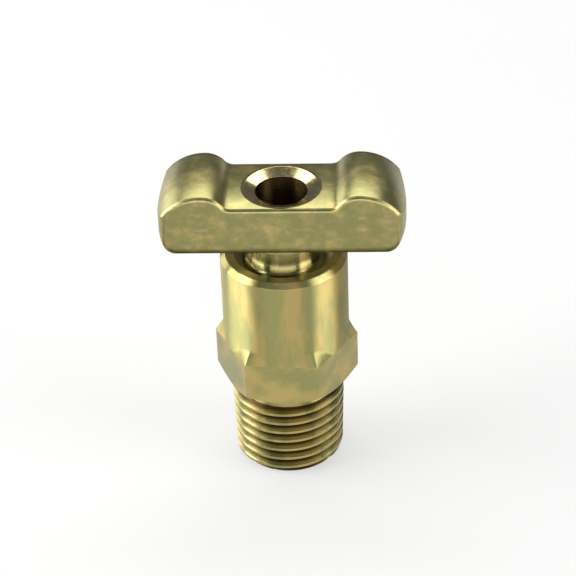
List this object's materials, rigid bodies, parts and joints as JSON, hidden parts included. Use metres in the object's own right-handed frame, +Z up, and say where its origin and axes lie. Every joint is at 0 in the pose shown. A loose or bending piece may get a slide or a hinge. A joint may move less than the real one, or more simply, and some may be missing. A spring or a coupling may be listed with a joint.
{
  "type": "engine block drain tap",
  "caption": "Brass drain tap with a taper thread, hexagon, round barrel and a hollow screw-down spindle under a T-shaped handle with two round knobs.",
  "frame": {"origin": "middle of the flat face at the threaded end, which is also the middle of the object's bottom", "axes": "+Z up the spindle's axis from the threaded end to the handle, +X along the handle with the tap shut"},
  "size_m": [0.0286, 0.0152, 0.0386],
  "materials": {
    "body": "turned brass, lightly dulled",
    "spindle": "turned brass",
    "handle": "forged brass, linished faces, lightly dulled",
    "o_ring": "moulded rubber, satin"
  },
  "bodies": {
    "tap_body": {"body": "body"},
    "seal": {"o_ring": "o_ring"},
    "screw_spindle": {"spindle": "spindle", "handle": "handle"}
  },
  "joints": [
    {"name": "spindle_lift", "type": "slide", "parent": "tap_body", "child": "seal", "axis": [0, 0, 1], "range_m": [0, 0.00171]},
    {"name": "handle_turn", "type": "hinge", "parent": "seal", "child": "screw_spindle", "pos_m": [0, 0, 0.0313], "axis": [0, 0, 1], "range_deg": [0, 630]}
  ],
  "couplings": [
    {"joint": "handle_turn", "follows": "spindle_lift", "rad_per_m": 6431.1}
  ]
}
